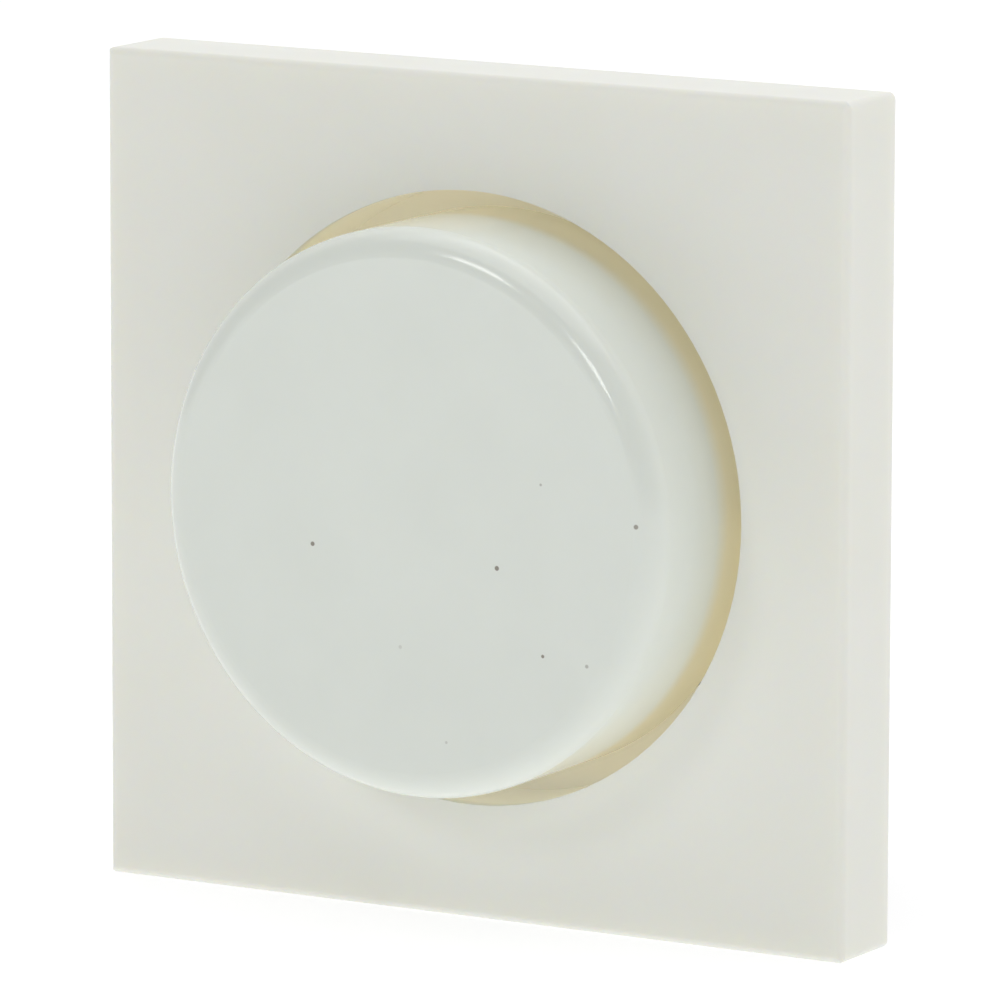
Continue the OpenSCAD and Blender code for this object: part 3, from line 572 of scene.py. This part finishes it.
class DIMMER_OT_stage(bpy.types.Operator):
    """Sets up the floor, the lights, the surrounding white and the camera"""
    bl_idname = "dimmer.stage"
    bl_label = "Stage"

    def execute(self, context):
        stage = context.scene.dimmer_stage
        add_floor(stage.floor_glow)
        add_world(context.scene, stage.front_white, stage.back_white)
        centre = Vector((0, PLATE_FRONT, 0))
        add_light("top_light", Vector((0.05, -0.03, 0.9)), centre, 1.2, stage.top_light)
        add_light("window_left", Vector((-0.28, -0.82, 0.50)) * 0.8, centre, 0.15, stage.window_light)
        add_light("window_right", Vector((0.154, -0.926, 0.341)) * 0.8, centre, 0.15, stage.window_light)
        add_camera(context.scene, stage)
        context.scene.view_settings.view_transform = "Standard"
        return {"FINISHED"}


def add_floor(glow):
    """A wide white sheet under the plate's lower edge."""
    half = 3.0
    mesh = bpy.data.meshes.new("floor")
    corners = [(x * half, y * half, FLOOR_LEVEL) for x, y in ((-1, -1), (1, -1), (1, 1), (-1, 1))]
    mesh.from_pydata(corners, [], [(0, 1, 2, 3)])
    mesh.materials.append(opal_acrylic(glow))
    floor = bpy.data.objects.new("floor", mesh)
    bpy.context.scene.collection.objects.link(floor)


def add_world(scene, front, back):
    """A white tent round the object, dim on the room's side and bright behind the plate."""
    world = bpy.data.worlds.new("studio")
    world.use_nodes = True
    tree = world.node_tree
    tree.nodes.clear()
    direction = add_node(tree, "ShaderNodeTexCoord").outputs["Generated"]
    depth = add_node(tree, "ShaderNodeSeparateXYZ", {"Vector": direction}).outputs["Y"]
    white = add_node(tree, "ShaderNodeBackground", {
        "Color": linear("ffffff"), "Strength": spread(tree, depth, -0.2, 0.5, front, back)})
    add_node(tree, "ShaderNodeOutputWorld", {"Surface": white.outputs["Background"]})
    scene.world = world


def add_light(name, place, target, size, power):
    """A square soft light at place that faces target."""
    data = bpy.data.lights.new(name, "AREA")
    data.shape = "SQUARE"
    data.size = size
    data.energy = power
    light = bpy.data.objects.new(name, data)
    light.location = place
    light.rotation_euler = (place - target).to_track_quat("Z", "Y").to_euler()
    bpy.context.scene.collection.objects.link(light)


def add_camera(scene, stage):
    """The camera, on a line from the plate's centre given by azimuth and elevation."""
    turn, tilt = stage.azimuth, stage.elevation
    back = Vector((sin(turn) * cos(tilt), -cos(turn) * cos(tilt), sin(tilt)))
    right = Vector((cos(turn), sin(turn), 0))
    up = back.cross(right)
    data = bpy.data.cameras.new("camera")
    data.lens = stage.lens
    data.sensor_width = 36
    data.clip_start = 0.01
    camera = bpy.data.objects.new("camera", data)
    rolled_right = cos(stage.roll) * right + sin(stage.roll) * up
    rolled_up = cos(stage.roll) * up - sin(stage.roll) * right
    axes = Matrix((rolled_right, rolled_up, back)).transposed().to_4x4()
    place = back * stage.distance + rolled_right * stage.aside + rolled_up * stage.above
    camera.matrix_world = Matrix.Translation(place) @ axes
    scene.collection.objects.link(camera)
    scene.camera = camera


class DIMMER_PT_looks(bpy.types.Panel):
    """Lists the finishes and the operators"""
    bl_idname = "DIMMER_PT_looks"
    bl_label = "Rotary dimmer"
    bl_space_type = "VIEW_3D"
    bl_region_type = "UI"
    bl_category = PANEL_TAB

    def draw(self, context):
        for group in (context.scene.dimmer_looks, context.scene.dimmer_stage):
            column = self.layout.column()
            for name in group.bl_rna.properties.keys():
                if name not in ("rna_type", "name"):
                    column.prop(group, name)
        for operator in OPERATORS:
            self.layout.operator(operator.bl_idname)


OPERATORS = (
    DIMMER_OT_cover, DIMMER_OT_knob, DIMMER_OT_mounting, DIMMER_OT_spindle,
    DIMMER_OT_potentiometer, DIMMER_OT_electronics, DIMMER_OT_stage)
CLASSES = (DimmerLooks, DimmerStage) + OPERATORS + (DIMMER_PT_looks,)


def register():
    for each in CLASSES:
        bpy.utils.register_class(each)
    bpy.types.Scene.dimmer_looks = bpy.props.PointerProperty(type=DimmerLooks)
    bpy.types.Scene.dimmer_stage = bpy.props.PointerProperty(type=DimmerStage)


def unregister():
    del bpy.types.Scene.dimmer_stage
    del bpy.types.Scene.dimmer_looks
    for each in reversed(CLASSES):
        bpy.utils.unregister_class(each)


def main():
    register()
    bpy.ops.dimmer.cover()
    bpy.ops.dimmer.knob()
    bpy.ops.dimmer.mounting()
    bpy.ops.dimmer.spindle()
    bpy.ops.dimmer.potentiometer()
    bpy.ops.dimmer.electronics()
    bpy.ops.dimmer.stage()


if __name__ == "__main__":
    main()
